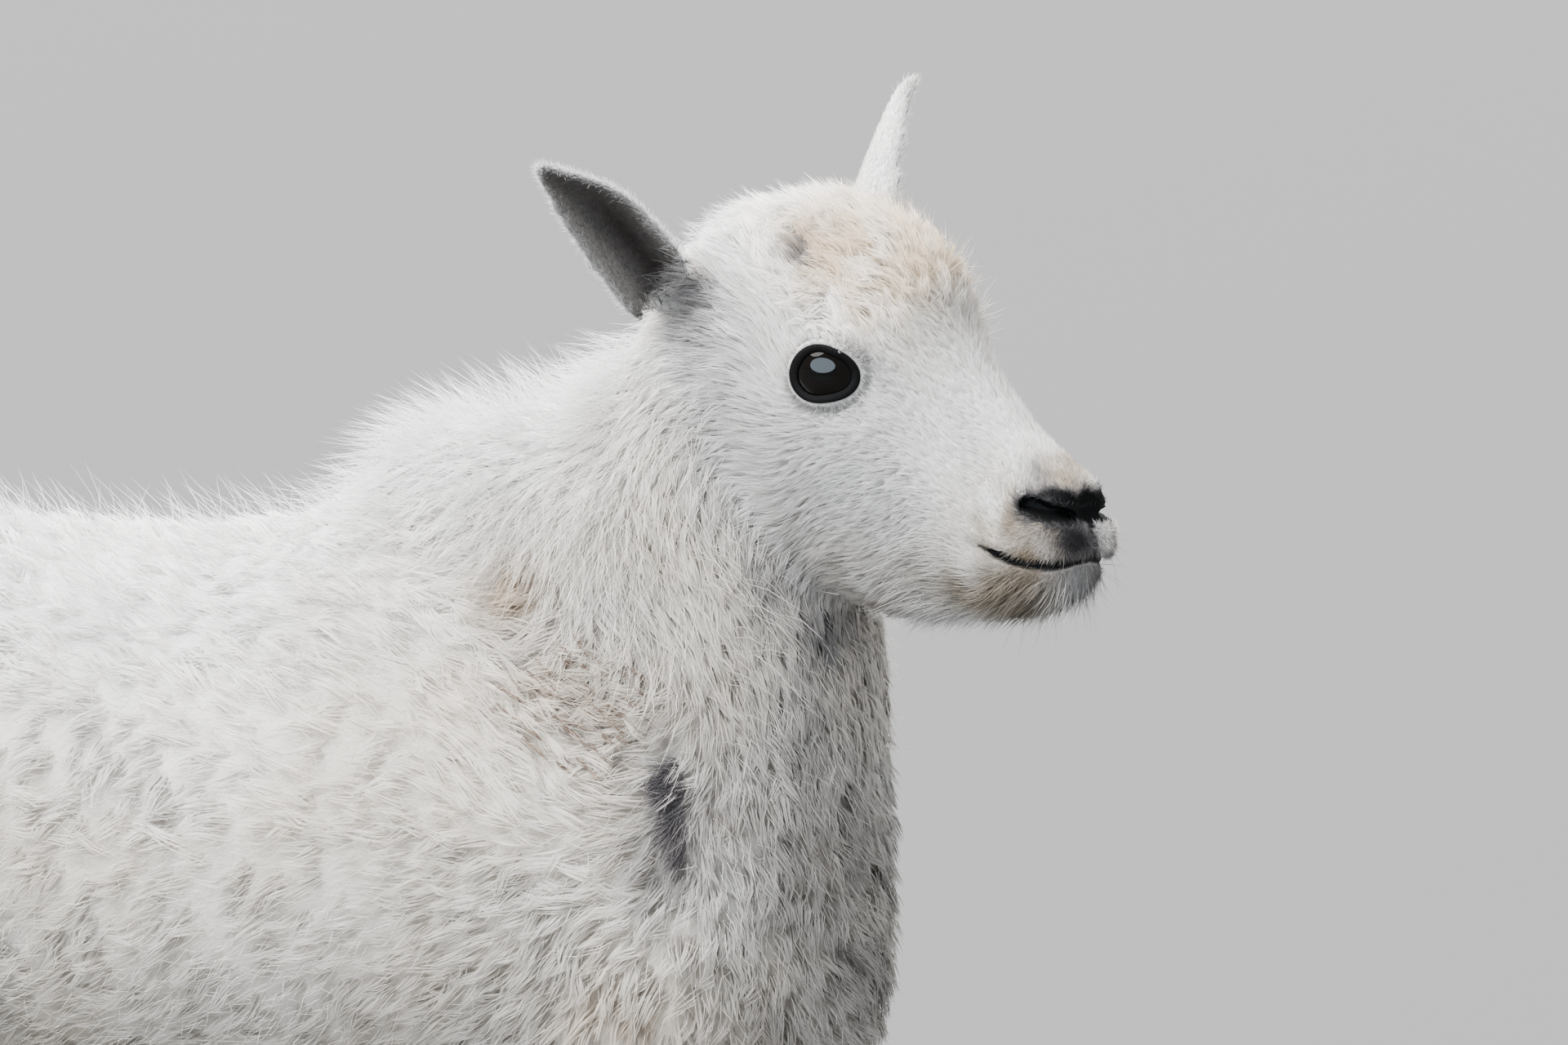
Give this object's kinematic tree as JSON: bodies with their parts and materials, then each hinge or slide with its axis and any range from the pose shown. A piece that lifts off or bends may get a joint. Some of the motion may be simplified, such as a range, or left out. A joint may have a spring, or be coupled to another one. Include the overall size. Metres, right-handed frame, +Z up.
{
  "type": "mountain goat kid",
  "caption": "White woolly mountain goat kid, life size, standing on all four cloven hooves with its head turned to its right.",
  "frame": {"origin": "on the ground, under the middle of the animal's bounding box", "axes": "+X towards the chest, +Y to the animal's left, +Z up; the head is turned to the animal's right"},
  "size_m": [0.5804, 0.2084, 0.5696],
  "materials": {
    "coat": "white to cream woolly fur, matt",
    "ear": "short fur, white outside and grey inside",
    "eye": "wet, glossy near-black eye",
    "horn": "dull dark grey horn bud",
    "hoof": "dark grey-brown horn, slightly worn"
  },
  "bodies": {
    "root": {"dewclaw_fore_left_inner": "hoof", "dewclaw_fore_left_outer": "hoof", "dewclaw_fore_right_inner": "hoof", "dewclaw_fore_right_outer": "hoof", "dewclaw_hind_left_inner": "hoof", "dewclaw_hind_left_outer": "hoof", "dewclaw_hind_right_inner": "hoof", "dewclaw_hind_right_outer": "hoof", "ear_left": "ear", "ear_right": "ear", "eye_left": "eye", "eye_right": "eye", "head": "coat", "horn_bud_left": "horn", "horn_bud_right": "horn", "leg_fore_left": "coat", "leg_fore_right": "coat", "leg_hind_left": "coat", "leg_hind_right": "coat", "neck": "coat", "tail": "coat", "toe_fore_left_inner": "hoof", "toe_fore_left_outer": "hoof", "toe_fore_right_inner": "hoof", "toe_fore_right_outer": "hoof", "toe_hind_left_inner": "hoof", "toe_hind_left_outer": "hoof", "toe_hind_right_inner": "hoof", "toe_hind_right_outer": "hoof", "trunk": "coat"}
  },
  "joints": []
}
